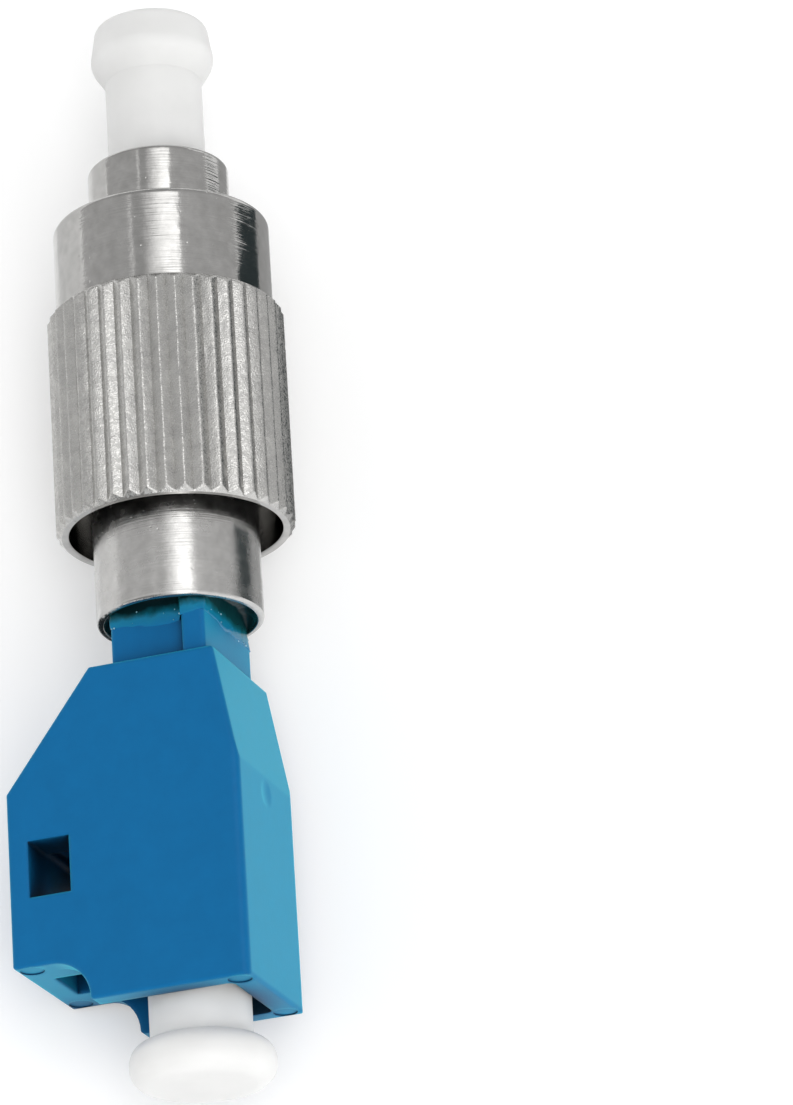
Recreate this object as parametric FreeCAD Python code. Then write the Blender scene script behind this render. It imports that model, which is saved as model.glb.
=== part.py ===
import FreeCAD, Part
import math
import os

# Hybrid fibre adapter: a threaded FC plug at one end and an LC socket at the other, on one axis.
# All sizes are in millimetres. While a piece is being made, X runs along the fibre from the mouth
# of the socket (x = 0) towards the tip of the plug, +Y is the socket's latch side and Z is its
# thickness. The finished piece is then rolled about the fibre and lifted to where it lies at rest.

# Fits
press_gap = 0.01            # between pieces that are pressed or glued together
running_gap = 0.05          # between pieces that slide or turn on each other
stop_gap = 0.03             # between a flat stop and the face that rests on it

# Fibre and ferrules
fibre_diameter = 0.125
fc_ferrule_diameter = 2.5
fc_ferrule_length = 10.5
fc_ferrule_projection = 1.85    # tip of the ferrule beyond the nose of the barrel
lc_ferrule_diameter = 1.25
lc_ferrule_grip = 2.0           # length of the small ferrule inside its tail
lc_tip_depth = 12.8             # from the mouth of the socket to the tip of the small ferrule
ferrule_tip_chamfer = 0.25
ferrule_float = 0.8             # how far the ferrules give way against the spring

# Flange that carries the ferrules
hub_wall = 0.45
hub_web = 0.8                   # metal behind the large ferrule
flange_thickness = 1.2
tail_wall = 0.475
tail_room = 0.2                 # between the tail and the sleeve holder when pushed right in

# Ferrule spring and its stop
spring_wire = 0.4
spring_turns = 5.5
stop_length = 3.1
stop_bore_room = 0.2

# Sleeve and its holder
sleeve_length = 6.8
sleeve_wall = 0.165
sleeve_slit = 0.25
holder_wall = 0.44
holder_lip = 0.5
holder_flange_length = 3.5
holder_flange_rise = 0.3

# Plug barrel, from the bore outwards and from the back forwards
barrel_wall = 0.74
barrel_rim_chamfer = 0.15
nose_step = 0.05                # the nose stands this much proud of the shank
nose_wall = 0.7
nose_bore_depth = 4.55
nose_round = 0.2
nose_land = 3.1                 # plain stretch of the nose ahead of the key
stop_wall = 1.0                 # wall inside the barrel that the ferrule flange rests against
key_width = 2.0
key_length = 3.65
key_relief = 0.16               # the barrel beside the key is turned down this far below the nose
guide_flange_thickness = 0.8

# Rear collar
collar_wall = 0.52
collar_mouth_wall = 0.3
collar_mouth_depth = 4.15
collar_grip = 4.35              # length of the collar on the barrel
collar_round = 0.18
collar_rim_round = 0.06           # inner edge of the rim

# Coupling nut and its snap ring
coupling_room = 1.0             # from the nose of the barrel out to the root of the thread
thread_pitch = 0.75
thread_height_share = 0.5413     # height of a metric thread as a share of its pitch
thread_length = 5.0
guide_room = 0.094              # from the guide flange to the crests of the thread
nut_travel = 3.5
nut_front_length = 4.05
nut_front_wall = 0.58
nut_front_round = 0.25
nut_mouth_chamfer = 0.15
knurl_length = 9.8
knurl_rise = 0.42               # crests of the knurl above the plain front
knurl_teeth = 40
knurl_depth = 0.23
knurl_groove_width = 0.7
knurl_chamfer = 0.24
nut_rear_wall = 0.55
nut_rim_round = 0.08
nut_lip_thickness = 0.9
nut_lip_room = 0.15             # from the collar to the lip inside the nut
nut_groove_wall = 0.35          # metal between the ring's groove and the knurl
nose_projection = 2.7           # nose of the barrel beyond the front of the nut, at rest
ring_thickness = 0.9
ring_bite = 0.55                # height of the ring above the lip
ring_slit = 1.2

# Socket housing
port_size = 4.6
port_depth = 10.2
port_corner_round = 0.3
port_floor = 3.3                # from the bottom of the port to the shoulder of the sleeve holder
side_wall = 0.92
back_wall = 1.02
latch_slot_width = 2.45
latch_slot_height = 3.45
latch_slot_overrun = 0.4        # slot beyond the windows
latch_roof = 1.05
housing_rear_wall = 0.6          # from the shoulder of the sleeve holder to the rear face
rear_chamfer_length = 4.9
latch_shoulder = 0.68           # rear face beyond the neck, on the latch side
back_shoulder = 0.46            # rear face beyond the neck, on the back
lug_setback = 1.75
lug_flat_height = 1.55
lug_cove_radius = 1.7
housing_edge_round = 0.13
back_edge_round = 0.32           # long edges of the back face
window_setback = 4.65
window_length = 2.4
window_height = 1.8
window_margin = 0.88            # from the latch face to the window
mould_mark_diameter = 1.0
mould_mark_depth = 0.05
mould_mark_inset = 0.62         # centre of a mark from the side face
mould_mark_margin = 0.62        # centre of a mark from the end of the face
gate_mark_x = 8.5               # dimple of the mould's gate, on the middle of the back face
gate_mark_diameter = 1.15
gate_mark_depth = 0.06

# Neck of the housing, glued into the collar
neck_latch_reach = 2.28          # axis to the latch side of the neck
neck_back_reach = 2.0
neck_thickness = 5.5
neck_exposed = 2.4
neck_corner_reach = 3.42         # axis to the trimmed corners of the neck
neck_taper = 0.7                 # corners narrow to the collar over this length
neck_edge_round = 0.15
neck_panel_depth = 0.5           # broad sides of the neck sink by this much beside its rib
neck_rib_width = 1.0             # rib along the back of the neck
glue_gap = 0.1
glue_dip = 0.42                 # top of the glue below the rim of the collar
glue_length = 3.6

# Dust plug of the socket
plug_room = 0.2                 # from the shank to the wall of the port
plug_exposed = 1.55
plug_insert = 6.0
plug_bore_wall = 0.6
plug_bore_depth = 3.5
plug_head_overhang = 0.9
plug_head_thickness = 1.85
plug_head_round = 0.85
plug_grip_length = 0.7
plug_grip_setback = 1.2         # grip ring from the inner end of the plug

# Dust cap of the plug
cap_room = 0.23                 # from the shank to the bore of the nose
cap_end_gap = 0.25
cap_exposed = 4.15
cap_head_length = 2.65
cap_head_overhang = 0.6
cap_flare_length = 0.95
cap_end_taper = 0.27
cap_end_round = 0.4
cap_flare_round = 0.9
cap_bore_overrun = 0.4          # bore beyond the tip of the ferrule

# Radii, from the fibre outwards
fibre_r = fibre_diameter / 2
fc_ferrule_r = fc_ferrule_diameter / 2
lc_ferrule_r = lc_ferrule_diameter / 2
hub_r = fc_ferrule_r + press_gap + hub_wall
tail_r = lc_ferrule_r + press_gap + tail_wall
spring_r = hub_r + running_gap + spring_wire / 2
spring_outer_r = spring_r + spring_wire / 2
spring_bore_r = spring_outer_r + running_gap
shank_r = spring_bore_r + barrel_wall
nose_r = shank_r + nose_step
nose_bore_r = nose_r - nose_wall
thread_r = nose_r + coupling_room
thread_crest_r = thread_r - thread_height_share * thread_pitch
guide_r = thread_crest_r - guide_room
collar_bore_r = shank_r + press_gap
collar_r = collar_bore_r + collar_wall
collar_mouth_r = collar_r - collar_mouth_wall
nut_lip_r = collar_r + nut_lip_room
ring_bore_r = shank_r + running_gap
ring_r = nut_lip_r + ring_bite
ring_groove_r = ring_r + running_gap
nut_front_r = thread_r + nut_front_wall
knurl_r = max(nut_front_r + knurl_rise, ring_groove_r + nut_groove_wall + knurl_depth)
nut_rear_bore_r = knurl_r - nut_rear_wall
nut_middle_r = max(thread_crest_r, guide_r + nut_lip_room)
sleeve_bore_r = lc_ferrule_r + running_gap / 2
sleeve_r = sleeve_bore_r + sleeve_wall
holder_bore_r = sleeve_r + running_gap
holder_r = holder_bore_r + holder_wall
holder_flange_r = holder_r + holder_flange_rise
neck_bore_r = holder_flange_r + press_gap
neck_r = collar_mouth_r - glue_gap
plug_shank_r = port_size / 2 - plug_room
plug_grip_r = port_size / 2 - running_gap
plug_head_r = plug_shank_r + plug_head_overhang
cap_shank_r = nose_bore_r - cap_room
cap_head_r = cap_shank_r + cap_head_overhang
cap_bore_r = fc_ferrule_r + running_gap / 2

# Reach of the housing to each side of the axis
half_thickness = port_size / 2 + side_wall
back_reach = port_size / 2 + back_wall
slot_top = port_size / 2 + latch_slot_height
latch_reach = slot_top + latch_roof

# Stations along the axis, from the mouth of the socket to the cap
holder_seat_x = port_depth + port_floor
holder_rear_x = holder_seat_x + holder_flange_length
housing_length = holder_seat_x + housing_rear_wall
collar_rear_x = housing_length + neck_exposed
barrel_rear_x = collar_rear_x + collar_mouth_depth
collar_front_x = barrel_rear_x + collar_grip
ring_rear_x = collar_front_x + running_gap
ring_front_x = ring_rear_x + ring_thickness
guide_rear_x = ring_front_x + nut_travel + running_gap
guide_front_x = guide_rear_x + guide_flange_thickness
key_front_x = guide_front_x + key_length
nose_x = key_front_x + nose_land
stop_wall_front_x = nose_x - nose_bore_depth
stop_wall_rear_x = stop_wall_front_x - stop_wall
nut_front_x = nose_x - nose_projection
knurl_front_x = nut_front_x - nut_front_length
nut_rear_x = knurl_front_x - knurl_length
flange_front_x = stop_wall_rear_x - stop_gap
flange_rear_x = flange_front_x - flange_thickness
fc_tip_x = nose_x + fc_ferrule_projection
fc_ferrule_rear_x = fc_tip_x - fc_ferrule_length
hub_rear_x = fc_ferrule_rear_x - press_gap - hub_web
stop_front_x = barrel_rear_x + stop_length
neck_end_x = barrel_rear_x - press_gap
sleeve_front_x = lc_tip_depth - sleeve_length / 2
sleeve_rear_x = sleeve_front_x + sleeve_length
tail_rear_x = holder_rear_x + ferrule_float + tail_room
lc_ferrule_rear_x = tail_rear_x + lc_ferrule_grip
cap_inner_x = stop_wall_front_x + ferrule_float + cap_end_gap
cap_neck_x = nose_x + cap_exposed
cap_end_x = cap_neck_x + cap_head_length
plug_head_x = -plug_exposed
plug_end_x = plug_head_x - plug_head_thickness

# Rest: the part lies on its knurl, rolled about its axis until the rounded edge of the latch face
# touches down beside it. The origin is under the middle of the part's box.
edge_y = latch_reach - housing_edge_round
edge_z = half_thickness - housing_edge_round
edge_angle = math.atan2(edge_z, edge_y)
roll = math.asin((knurl_r - housing_edge_round) / math.hypot(edge_y, edge_z)) - edge_angle
latch_side_y = edge_y * math.cos(roll) + edge_z * math.sin(roll) + housing_edge_round
back_side_y = -max(knurl_r, back_reach * math.cos(roll) + half_thickness * math.sin(roll))
middle_x = (cap_end_x + plug_end_x) / 2
middle_y = (latch_side_y + back_side_y) / 2

ORIGIN = FreeCAD.Vector(0, 0, 0)
ALONG = FreeCAD.Vector(1, 0, 0)
UPRIGHT = FreeCAD.Vector(0, 1, 0)
ACROSS = FreeCAD.Vector(0, 0, 1)
PAST = 1                        # how far a cut runs on past the face it opens
REACH = 50                      # longer than any cut needs to be


def outline(corners):
    """Closed flat face through (x, y, rounding radius) corners."""
    starts = []
    edges = []
    for index, (x, y, radius) in enumerate(corners):
        corner = FreeCAD.Vector(x, y, 0)
        before = FreeCAD.Vector(*corners[index - 1][:2], 0) - corner
        after = FreeCAD.Vector(*corners[(index + 1) % len(corners)][:2], 0) - corner
        if radius == 0:
            starts.append((corner, corner))
            continue
        before.normalize()
        after.normalize()
        half_angle = before.getAngle(after) / 2
        run = radius / math.tan(half_angle)
        bisector = before + after
        bisector.normalize()
        middle = corner + bisector * (radius / math.sin(half_angle) - radius)
        starts.append((corner + before * run, corner + after * run))
        edges.append(Part.Arc(starts[-1][0], middle, starts[-1][1]).toShape())
    for index, (_, leave) in enumerate(starts):
        arrive = starts[(index + 1) % len(starts)][0]
        edges.append(Part.LineSegment(leave, arrive).toShape())
    return Part.Face(Part.Wire(Part.__sortEdges__(edges)))


def turned(*corners):
    """Solid of revolution about the axis, from (x, radius, rounding) corners."""
    return outline(corners).revolve(ORIGIN, ALONG, 360)


def rod(start, end, radius):
    return Part.makeCylinder(radius, end - start, FreeCAD.Vector(start, 0, 0), ALONG)


def tube(start, end, radius, bore):
    return rod(start, end, radius).cut(rod(start - PAST, end + PAST, bore))


def block(x, y, z):
    """Box between two limits on each axis."""
    corner = FreeCAD.Vector(x[0], y[0], z[0])
    return Part.makeBox(x[1] - x[0], y[1] - y[0], z[1] - z[0], corner)


def rounded_block(x, y, z, radius):
    """Box whose four edges along the axis are rounded."""
    solid = block(x, y, z)
    length = x[1] - x[0]
    edges = [edge for edge in solid.Edges if abs(edge.BoundBox.XLength - length) < press_gap]
    return solid.makeFillet(radius, edges)


def make_neck():
    """Glued spigot: a block with a thicker rib along its back, trimmed to enter the collar."""
    half_width = neck_thickness / 2
    panel = half_width - neck_panel_depth
    start = holder_seat_x
    span = (start, neck_end_x)
    neck = rounded_block(span, (-neck_back_reach, neck_latch_reach), (-panel, panel), neck_edge_round)
    rib = rounded_block(span, (-neck_back_reach, neck_rib_width - neck_back_reach),
                        (-half_width, half_width), neck_edge_round)
    neck = neck.fuse(rib).removeSplitter()
    trim = turned(
        (start - PAST, 0, 0),
        (start - PAST, neck_corner_reach, 0),
        (collar_rear_x - neck_taper, neck_corner_reach, 0),
        (collar_rear_x - running_gap, neck_r, 0),
        (neck_end_x + PAST, neck_r, 0),
        (neck_end_x + PAST, 0, 0),
    )
    neck = neck.common(trim)
    return neck.cut(rod(start - PAST, neck_end_x + PAST, neck_bore_r))


def make_housing():
    cove = min(lug_cove_radius, lug_setback - 2 * running_gap)
    cove_foot = latch_reach - lug_flat_height - lug_setback
    chamfer_x = housing_length - rear_chamfer_length
    profile = outline((
        (0, -back_reach, 0),
        (0, cove_foot, 0),
        (lug_setback, cove_foot, cove),
        (lug_setback, latch_reach, 0),
        (chamfer_x, latch_reach, 0),
        (housing_length, neck_latch_reach + latch_shoulder, 0),
        (housing_length, -neck_back_reach - back_shoulder, 0),
        (chamfer_x, -back_reach, 0),
    ))
    profile.translate(ACROSS * -half_thickness)
    shell = profile.extrude(ACROSS * 2 * half_thickness)
    shell = shell.makeFillet(housing_edge_round, shell.Edges)
    round_y = back_edge_round - back_reach
    for side in (-1, 1):
        round_z = side * (half_thickness - back_edge_round)
        corner = block((-PAST, housing_length), (round_y - back_edge_round - PAST, round_y),
                       sorted((round_z, side * (half_thickness + PAST))))
        bar = rod(-2 * PAST, housing_length + PAST, back_edge_round)
        bar.translate(FreeCAD.Vector(0, round_y, round_z))
        shell = shell.cut(corner.cut(bar))
    port_span = (-port_size / 2, port_size / 2)
    port = rounded_block((-PAST, port_depth), port_span, port_span, port_corner_round)
    mouth = block((-PAST, lug_setback), (0, REACH), port_span)
    slot_end = window_setback + window_length + latch_slot_overrun
    slot = block((-PAST, slot_end), (0, slot_top), (-latch_slot_width / 2, latch_slot_width / 2))
    window_top = latch_reach - window_margin
    windows = block((window_setback, window_setback + window_length),
                    (window_top - window_height, window_top), (-REACH, REACH))
    holder_bore = rod(port_depth - PAST, holder_seat_x, holder_r + press_gap)
    neck_bore = rod(holder_seat_x, neck_end_x + PAST, neck_bore_r)
    shell = shell.cut(port).cut(mouth).cut(slot).cut(windows).cut(holder_bore).cut(neck_bore)
    shell = shell.fuse(make_neck()).removeSplitter()
    mark_z = half_thickness - mould_mark_inset
    back_mark = (0, mould_mark_margin - back_reach)
    lug_mark = (lug_setback, latch_reach - mould_mark_margin)
    for x, y in (back_mark, lug_mark):
        for z in (-mark_z, mark_z):
            mark = rod(x - mould_mark_depth, x + mould_mark_depth, mould_mark_diameter / 2)
            mark.translate(FreeCAD.Vector(0, y, z))
            shell = shell.cut(mark)
    dimple_r = (gate_mark_diameter ** 2 / 4 + gate_mark_depth ** 2) / (2 * gate_mark_depth)
    dimple_y = gate_mark_depth - back_reach - dimple_r
    dimple = Part.makeSphere(dimple_r, FreeCAD.Vector(gate_mark_x, dimple_y, 0))
    return shell.cut(dimple)


def make_epoxy():
    start = collar_rear_x + glue_dip
    fill = rod(start, start + glue_length, collar_mouth_r - press_gap)
    fill = fill.cut(rod(start - PAST, neck_end_x, neck_bore_r))
    return fill.cut(make_neck())


def make_collar():
    return turned(
        (collar_rear_x, collar_mouth_r, collar_rim_round),
        (collar_rear_x, collar_r, collar_round),
        (collar_front_x, collar_r, collar_round),
        (collar_front_x, collar_bore_r, 0),
        (barrel_rear_x, collar_bore_r, 0),
        (barrel_rear_x, collar_mouth_r, 0),
    )


def make_barrel():
    """Turned barrel: shank, guide flange that stops the nut, key, and nose around the ferrule."""
    key_r = nose_r - key_relief
    wall_bore_r = fc_ferrule_r + hub_wall / 2
    barrel = turned(
        (barrel_rear_x, spring_bore_r, 0),
        (barrel_rear_x, shank_r, barrel_rim_chamfer),
        (guide_rear_x, shank_r, 0),
        (guide_rear_x, guide_r, barrel_rim_chamfer),
        (guide_front_x, guide_r, barrel_rim_chamfer),
        (guide_front_x, key_r, 0),
        (key_front_x, key_r, 0),
        (key_front_x, nose_r, 0),
        (nose_x, nose_r, nose_round),
        (nose_x, nose_bore_r, nose_round / 2),
        (stop_wall_front_x, nose_bore_r, 0),
        (stop_wall_front_x, wall_bore_r, 0),
        (stop_wall_rear_x, wall_bore_r, 0),
        (stop_wall_rear_x, spring_bore_r, 0),
    )
    key = block((guide_rear_x, key_front_x), (nose_bore_r, REACH), (-key_width / 2, key_width / 2))
    key = key.common(tube(guide_rear_x, key_front_x, guide_r, key_r - running_gap))
    return barrel.fuse(key).removeSplitter()


def make_snap_ring():
    ring = tube(ring_rear_x, ring_front_x, ring_r, ring_bore_r)
    slit = block((ring_rear_x - PAST, ring_front_x + PAST), (-REACH, 0), (-ring_slit / 2, ring_slit / 2))
    return ring.cut(slit)


def make_nut():
    """Coupling nut: plain bore where the thread is cut, ring groove, lip, rear opening and knurl."""
    groove_rear_x = ring_rear_x - running_gap
    groove_front_x = ring_front_x + running_gap
    lip_rear_x = groove_rear_x - nut_lip_thickness
    thread_rear_x = nut_front_x - thread_length
    nut = turned(
        (nut_front_x, thread_r + nut_mouth_chamfer, 0),
        (nut_front_x, nut_front_r, nut_front_round),
        (knurl_front_x, nut_front_r, 0),
        (knurl_front_x, knurl_r - knurl_chamfer, 0),
        (knurl_front_x - knurl_chamfer, knurl_r, 0),
        (nut_rear_x + knurl_chamfer, knurl_r, 0),
        (nut_rear_x, knurl_r - knurl_chamfer, nut_rim_round),
        (nut_rear_x, nut_rear_bore_r, nut_rim_round),
        (lip_rear_x, nut_rear_bore_r, 0),
        (lip_rear_x, nut_lip_r, 0),
        (groove_rear_x, nut_lip_r, 0),
        (groove_rear_x, ring_groove_r, 0),
        (groove_front_x, ring_groove_r, 0),
        (groove_front_x, nut_middle_r, 0),
        (thread_rear_x, nut_middle_r, 0),
        (thread_rear_x, thread_r, 0),
        (nut_front_x - nut_mouth_chamfer, thread_r, 0),
    )
    start = nut_rear_x - PAST
    groove_foot = knurl_depth - knurl_r
    cutter_top = groove_foot - 2 * knurl_depth
    cutter_half_width = knurl_groove_width
    foot = FreeCAD.Vector(start, 0, groove_foot)
    left = FreeCAD.Vector(start, -cutter_half_width, cutter_top)
    right = FreeCAD.Vector(start, cutter_half_width, cutter_top)
    groove = Part.Face(Part.makePolygon([foot, left, right, foot]))
    groove = groove.extrude(ALONG * (knurl_length + PAST + knurl_chamfer))
    tooth_angle = 360 / knurl_teeth
    grooves = []
    for tooth in range(knurl_teeth):
        cutter = groove.copy()
        cutter.rotate(ORIGIN, ALONG, math.degrees(roll) + (tooth + 0.5) * tooth_angle)
        grooves.append(cutter)
    return nut.cut(Part.makeCompound(grooves))


def make_flange():
    """Metal holder: flange at the stop wall, hub around the large ferrule, tail around the small one."""
    flange = turned(
        (tail_rear_x, 0, 0),
        (tail_rear_x, tail_r, 0),
        (hub_rear_x, tail_r, 0),
        (hub_rear_x, hub_r, 0),
        (flange_rear_x, hub_r, 0),
        (flange_rear_x, spring_outer_r, 0),
        (flange_front_x, spring_outer_r, 0),
        (flange_front_x, 0, 0),
    )
    large_bore = rod(fc_ferrule_rear_x - press_gap, flange_front_x + PAST, fc_ferrule_r + press_gap)
    small_bore = rod(tail_rear_x - PAST, lc_ferrule_rear_x + press_gap, lc_ferrule_r + press_gap)
    fibre_bore = rod(tail_rear_x, flange_front_x, fibre_r + press_gap)
    return flange.cut(large_bore).cut(small_bore).cut(fibre_bore)


def make_ferrule(start, end, radius, tip_at_start):
    """Ferrule with a chamfered tip and a hole for the fibre."""
    ferrule = rod(start, end, radius)
    tip_x = start if tip_at_start else end
    rim = [edge for edge in ferrule.Edges if abs(edge.BoundBox.XLength) < press_gap
           and abs(edge.BoundBox.XMin - tip_x) < press_gap]
    ferrule = ferrule.makeChamfer(ferrule_tip_chamfer, rim)
    return ferrule.cut(rod(start - PAST, end + PAST, fibre_r + press_gap / 2))


def make_spring():
    """Compression spring between the stop bush and the ferrule flange."""
    start = stop_front_x + spring_wire / 2 + stop_gap
    height = flange_rear_x - stop_gap - spring_wire / 2 - start
    helix = Part.makeHelix(height / spring_turns, height, spring_r)
    section = Part.makeCircle(spring_wire / 2, ALONG * spring_r, UPRIGHT)
    spring = Part.Wire(helix).makePipeShell([Part.Wire(section)], True, True)
    spring.rotate(ORIGIN, UPRIGHT, 90)
    spring.translate(ALONG * start)
    return spring


def make_holder():
    front_x = sleeve_front_x - running_gap - holder_lip
    return turned(
        (front_x, sleeve_bore_r, 0),
        (front_x, holder_r, 0),
        (holder_seat_x + press_gap, holder_r, 0),
        (holder_seat_x + press_gap, holder_flange_r, 0),
        (holder_rear_x, holder_flange_r, 0),
        (holder_rear_x, holder_bore_r, 0),
        (sleeve_front_x - running_gap, holder_bore_r, 0),
        (sleeve_front_x - running_gap, sleeve_bore_r, 0),
    )


def make_sleeve():
    sleeve = tube(sleeve_front_x, sleeve_rear_x, sleeve_r, sleeve_bore_r)
    slit_width = (-sleeve_slit / 2, sleeve_slit / 2)
    slit = block((sleeve_front_x - PAST, sleeve_rear_x + PAST), (0, REACH), slit_width)
    return sleeve.cut(slit)


def make_cap():
    """Push-on cap: a hollow shank over the large ferrule and a flared head to pull it by."""
    bore_end = fc_tip_x + cap_bore_overrun
    return turned(
        (cap_inner_x, cap_bore_r, 0),
        (cap_inner_x, cap_shank_r, cap_room),
        (cap_neck_x, cap_shank_r, 0),
        (cap_neck_x + cap_flare_length, cap_head_r, cap_flare_round),
        (cap_end_x, cap_head_r - cap_end_taper, cap_end_round),
        (cap_end_x, 0, 0),
        (bore_end, 0, 0),
        (bore_end, cap_bore_r, 0),
    )


def make_plug():
    """Push-in plug: a shank with a grip ring and a cored inner end, under a rounded head."""
    head_round = min(plug_head_round, plug_head_thickness / 2 - running_gap)
    grip_end = plug_insert - plug_grip_setback
    bore_r = plug_shank_r - plug_bore_wall
    return turned(
        (plug_end_x, 0, 0),
        (plug_end_x, plug_head_r, head_round),
        (plug_head_x, plug_head_r, head_round),
        (plug_head_x, plug_shank_r, 0),
        (grip_end - plug_grip_length - plug_room, plug_shank_r, 0),
        (grip_end - plug_grip_length, plug_grip_r, 0),
        (grip_end, plug_grip_r, 0),
        (grip_end + plug_room, plug_shank_r, 0),
        (plug_insert, plug_shank_r, plug_room),
        (plug_insert, bore_r, 0),
        (plug_insert - plug_bore_depth, bore_r, 0),
        (plug_insert - plug_bore_depth, 0, 0),
    )


pieces = {
    "lc_housing": make_housing(),
    "sleeve_holder": make_holder(),
    "split_sleeve": make_sleeve(),
    "epoxy_bead": make_epoxy(),
    "rear_collar": make_collar(),
    "fc_barrel": make_barrel(),
    "spring_stop": tube(barrel_rear_x, stop_front_x, spring_bore_r - press_gap, tail_r + stop_bore_room),
    "nut_snap_ring": make_snap_ring(),
    "coupling_nut": make_nut(),
    "ferrule_flange": make_flange(),
    "fc_ferrule": make_ferrule(fc_ferrule_rear_x, fc_tip_x, fc_ferrule_r, False),
    "lc_ferrule": make_ferrule(lc_tip_depth, lc_ferrule_rear_x, lc_ferrule_r, True),
    "fibre_stub": rod(lc_tip_depth, fc_tip_x, fibre_r),
    "ferrule_spring": make_spring(),
    "fc_dust_cap": make_cap(),
    "lc_dust_plug": make_plug(),
}

os.makedirs("parts", exist_ok=True)
for name, solid in pieces.items():
    solid.rotate(ORIGIN, ALONG, -math.degrees(roll))
    solid.translate(FreeCAD.Vector(-middle_x, -middle_y, knurl_r))
    solid.exportStep("parts/" + name + ".step")
    print(name, len(solid.Solids), solid.isValid(), round(solid.Volume, 3))
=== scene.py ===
import math

import bpy
from mathutils import Matrix, Vector, noise


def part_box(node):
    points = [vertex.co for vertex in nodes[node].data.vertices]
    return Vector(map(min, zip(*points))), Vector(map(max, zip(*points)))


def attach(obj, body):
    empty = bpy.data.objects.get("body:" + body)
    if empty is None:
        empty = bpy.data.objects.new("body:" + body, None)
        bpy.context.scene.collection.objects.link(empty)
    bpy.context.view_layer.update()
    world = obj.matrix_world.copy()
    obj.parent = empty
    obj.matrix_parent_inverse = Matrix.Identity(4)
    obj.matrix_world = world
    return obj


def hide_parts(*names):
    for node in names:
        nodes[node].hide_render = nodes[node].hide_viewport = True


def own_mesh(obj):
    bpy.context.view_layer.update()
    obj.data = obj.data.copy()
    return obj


# Hybrid fibre adapter: a nickel-plated FC plug with a knurled nut, glued to a blue LC socket, with
# white dust caps on both ends. Everything is in metres, in the frame of the solids.

MM = 0.001

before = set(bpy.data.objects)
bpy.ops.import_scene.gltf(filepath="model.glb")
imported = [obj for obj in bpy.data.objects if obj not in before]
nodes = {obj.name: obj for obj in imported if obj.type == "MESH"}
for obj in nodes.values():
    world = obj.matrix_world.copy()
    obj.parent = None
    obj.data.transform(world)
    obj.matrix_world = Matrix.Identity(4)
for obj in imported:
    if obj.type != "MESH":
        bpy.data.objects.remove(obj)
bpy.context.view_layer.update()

# Places read from the solids
NUT_LOW, NUT_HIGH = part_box("coupling_nut")
AXIS = Vector((0, (NUT_LOW.y + NUT_HIGH.y) / 2, (NUT_LOW.z + NUT_HIGH.z) / 2))
COLLAR_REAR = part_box("rear_collar")[0].x
GLUE_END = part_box("epoxy_bead")[1].x
SPRING_LOW, SPRING_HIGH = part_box("ferrule_spring")

# Nut, in millimetres, with x counted from its front face
NUT_LENGTH = (NUT_HIGH.x - NUT_LOW.x) / MM
KNURL_R = (NUT_HIGH.z - NUT_LOW.z) / 2 / MM
KNURL_FRONT = -4.05
KNURL_TEETH = 40
KNURL_CHAMFER = 0.24
KNURL_SLOPE = 0.62              # fall of a tooth's flank for each step sideways
KNURL_CREST_ROUND = 0.04
KNURL_WANDER = 0.04             # how far a crest strays to either side
KNURL_WANDER_LENGTH = 0.7       # size of a stray along the knurl
KNURL_WANDER_WIDTH = 1.5        # size of a stray across it
KNURL_DENT = 0.014              # deepest dent in a worn crest
KNURL_DENT_SIZE = 0.25
KNURL_SEED = 3.0
KNURL_SKIN = 0.02               # how far below the knurl's floor a point still counts as outside
KNURL_STEP = 0.09               # spacing of the mesh along the knurl
TOOTH_STEPS = 12                # faces across one tooth
CREST_CROWDING = 0.45           # spacing of the mesh at a crest, as a share of its mean spacing
SHADING_GUARD = 0.04            # narrow faces that keep a long face's shading true up to its rounded ends
METAL_SHARP_ANGLE = math.radians(32)
NUT_FRONT_R = 4.58
NUT_FRONT_ROUND = 0.25
NUT_RIM_ROUND = 0.08
NUT_REAR_BORE_R = 4.45
NUT_LIP_R = 3.63
NUT_LIP_REAR = -10.25
NUT_LIP_FRONT = -9.35
RING_GROOVE_R = 4.23
RING_GROOVE_FRONT = -8.35
NUT_MIDDLE_R = 3.65
THREAD_R = 4.0
THREAD_CREST_R = 3.594
THREAD_PITCH = 0.75
THREAD_LENGTH = 5.0
THREAD_SINK = 0.02              # base of the thread inside the wall of the bore
THREAD_BASE_SHARE = 7 / 8       # width of the ridge at its base and at its crest, as shares of the pitch
THREAD_CREST_SHARE = 1 / 4
HELIX_STEPS = 96                # points on one turn of the thread or the spring
MOUTH_CHAMFER = 0.15

# Spring, in millimetres
SPRING_WIRE = 0.4
SPRING_TURNS = 5.5

# Neck of the socket and the glue around it, in millimetres, before the part is rolled to its rest
ROLL = math.radians(16.634)
NECK_LATCH_REACH = 2.28
NECK_BACK_REACH = 2.0
NECK_PANEL = 2.25               # axis to the sunk broad sides
NECK_RIB = 2.75                 # axis to the top of the rib
NECK_RIB_WIDTH = 1.0
NECK_CORNER_R = 3.42
NECK_COLLAR_R = 3.08            # trimmed corners where the neck enters the collar
NECK_TAPER = 0.7
COLLAR_MOUTH_R = 3.18
GLUE_GAP = 0.005                # glue to the wall of the collar
GLUE_EDGE = 0.12                # rim of the collar to the edge of the glue inside it
GLUE_DIP = 0.5                  # how much further in the middle of the glue lies
GLUE_SWELL = 0.12               # uneven level of the glue
GLUE_FILM = 0.05                # thickness of the film on the neck
GLUE_CLIMB = 0.66               # how far the film climbs out of the collar
GLUE_CLIMB_SPREAD = 0.3
GLUE_RIPPLE = 0.04              # fine ripple in the film's edge
GLUE_INSIDE = 0.15              # how far the glue's mesh runs on inside the neck
GLUE_SHOULDER = 0.3             # where that inside turns straight, from the rim
GLUE_STEPS = 360
GLUE_ACROSS = (0.85, 0.65, 0.45, 0.25, 0.12)    # points of its level, as shares from the neck to the wall
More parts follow.
